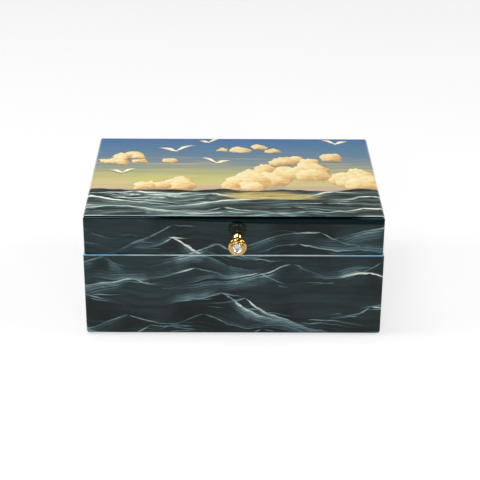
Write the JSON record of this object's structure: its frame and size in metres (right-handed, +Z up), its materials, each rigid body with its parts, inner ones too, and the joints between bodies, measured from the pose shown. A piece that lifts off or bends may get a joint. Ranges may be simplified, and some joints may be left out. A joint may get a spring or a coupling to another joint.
{
  "type": "lacquered box",
  "caption": "Rectangular lacquered wooden box with a hinged lid, painted waves and sky, a turned brass knob set with a cut crystal, and a velvet lining with a raised lip.",
  "frame": {"origin": "middle of the underside, on the table", "axes": "+X to the right along the box's width, -Y towards the front with the knob, +Z up"},
  "size_m": [0.22, 0.1727, 0.098],
  "materials": {
    "sea_lacquer": "dark green-grey paint with brushed waves under clear gloss lacquer",
    "sky_lacquer": "painted sky and sea under clear gloss lacquer",
    "bare_wood": "sanded, unfinished",
    "velvet": "short pile",
    "baize": "felted",
    "brass": "polished",
    "crystal": "cut and polished",
    "steel": "zinc plated"
  },
  "bodies": {
    "case": {"case_front_wall": "sea_lacquer", "case_right_wall": "sea_lacquer", "case_back_wall": "sea_lacquer", "case_left_wall": "sea_lacquer", "floor_panel": "bare_wood", "baize_underside": "baize", "lining_front_board": "velvet", "lining_back_board": "velvet", "lining_left_board": "velvet", "lining_right_board": "velvet", "floor_pad": "velvet", "hinge_left_case_leaf": "brass", "hinge_left_pin": "brass", "hinge_left_case_screw_1": "brass", "hinge_left_case_screw_2": "brass", "hinge_right_case_leaf": "brass", "hinge_right_pin": "brass", "hinge_right_case_screw_1": "brass", "hinge_right_case_screw_2": "brass"},
    "lid": {"lid_front_rail": "sea_lacquer", "lid_right_rail": "sea_lacquer", "lid_back_rail": "sea_lacquer", "lid_left_rail": "sea_lacquer", "lid_top_panel": "sky_lacquer", "lid_pad": "velvet", "knob_body": "brass", "knob_bezel": "brass", "knob_crystal": "crystal", "knob_washer": "steel", "knob_screw": "steel", "hinge_left_lid_leaf": "brass", "hinge_left_lid_screw_1": "brass", "hinge_left_lid_screw_2": "brass", "hinge_right_lid_leaf": "brass", "hinge_right_lid_screw_1": "brass", "hinge_right_lid_screw_2": "brass"}
  },
  "joints": [
    {"name": "lid_hinge", "type": "hinge", "parent": "case", "child": "lid", "pos_m": [0, 0.0748, 0.067], "axis": [-1, 0, 0], "range_deg": [0, 100]}
  ]
}
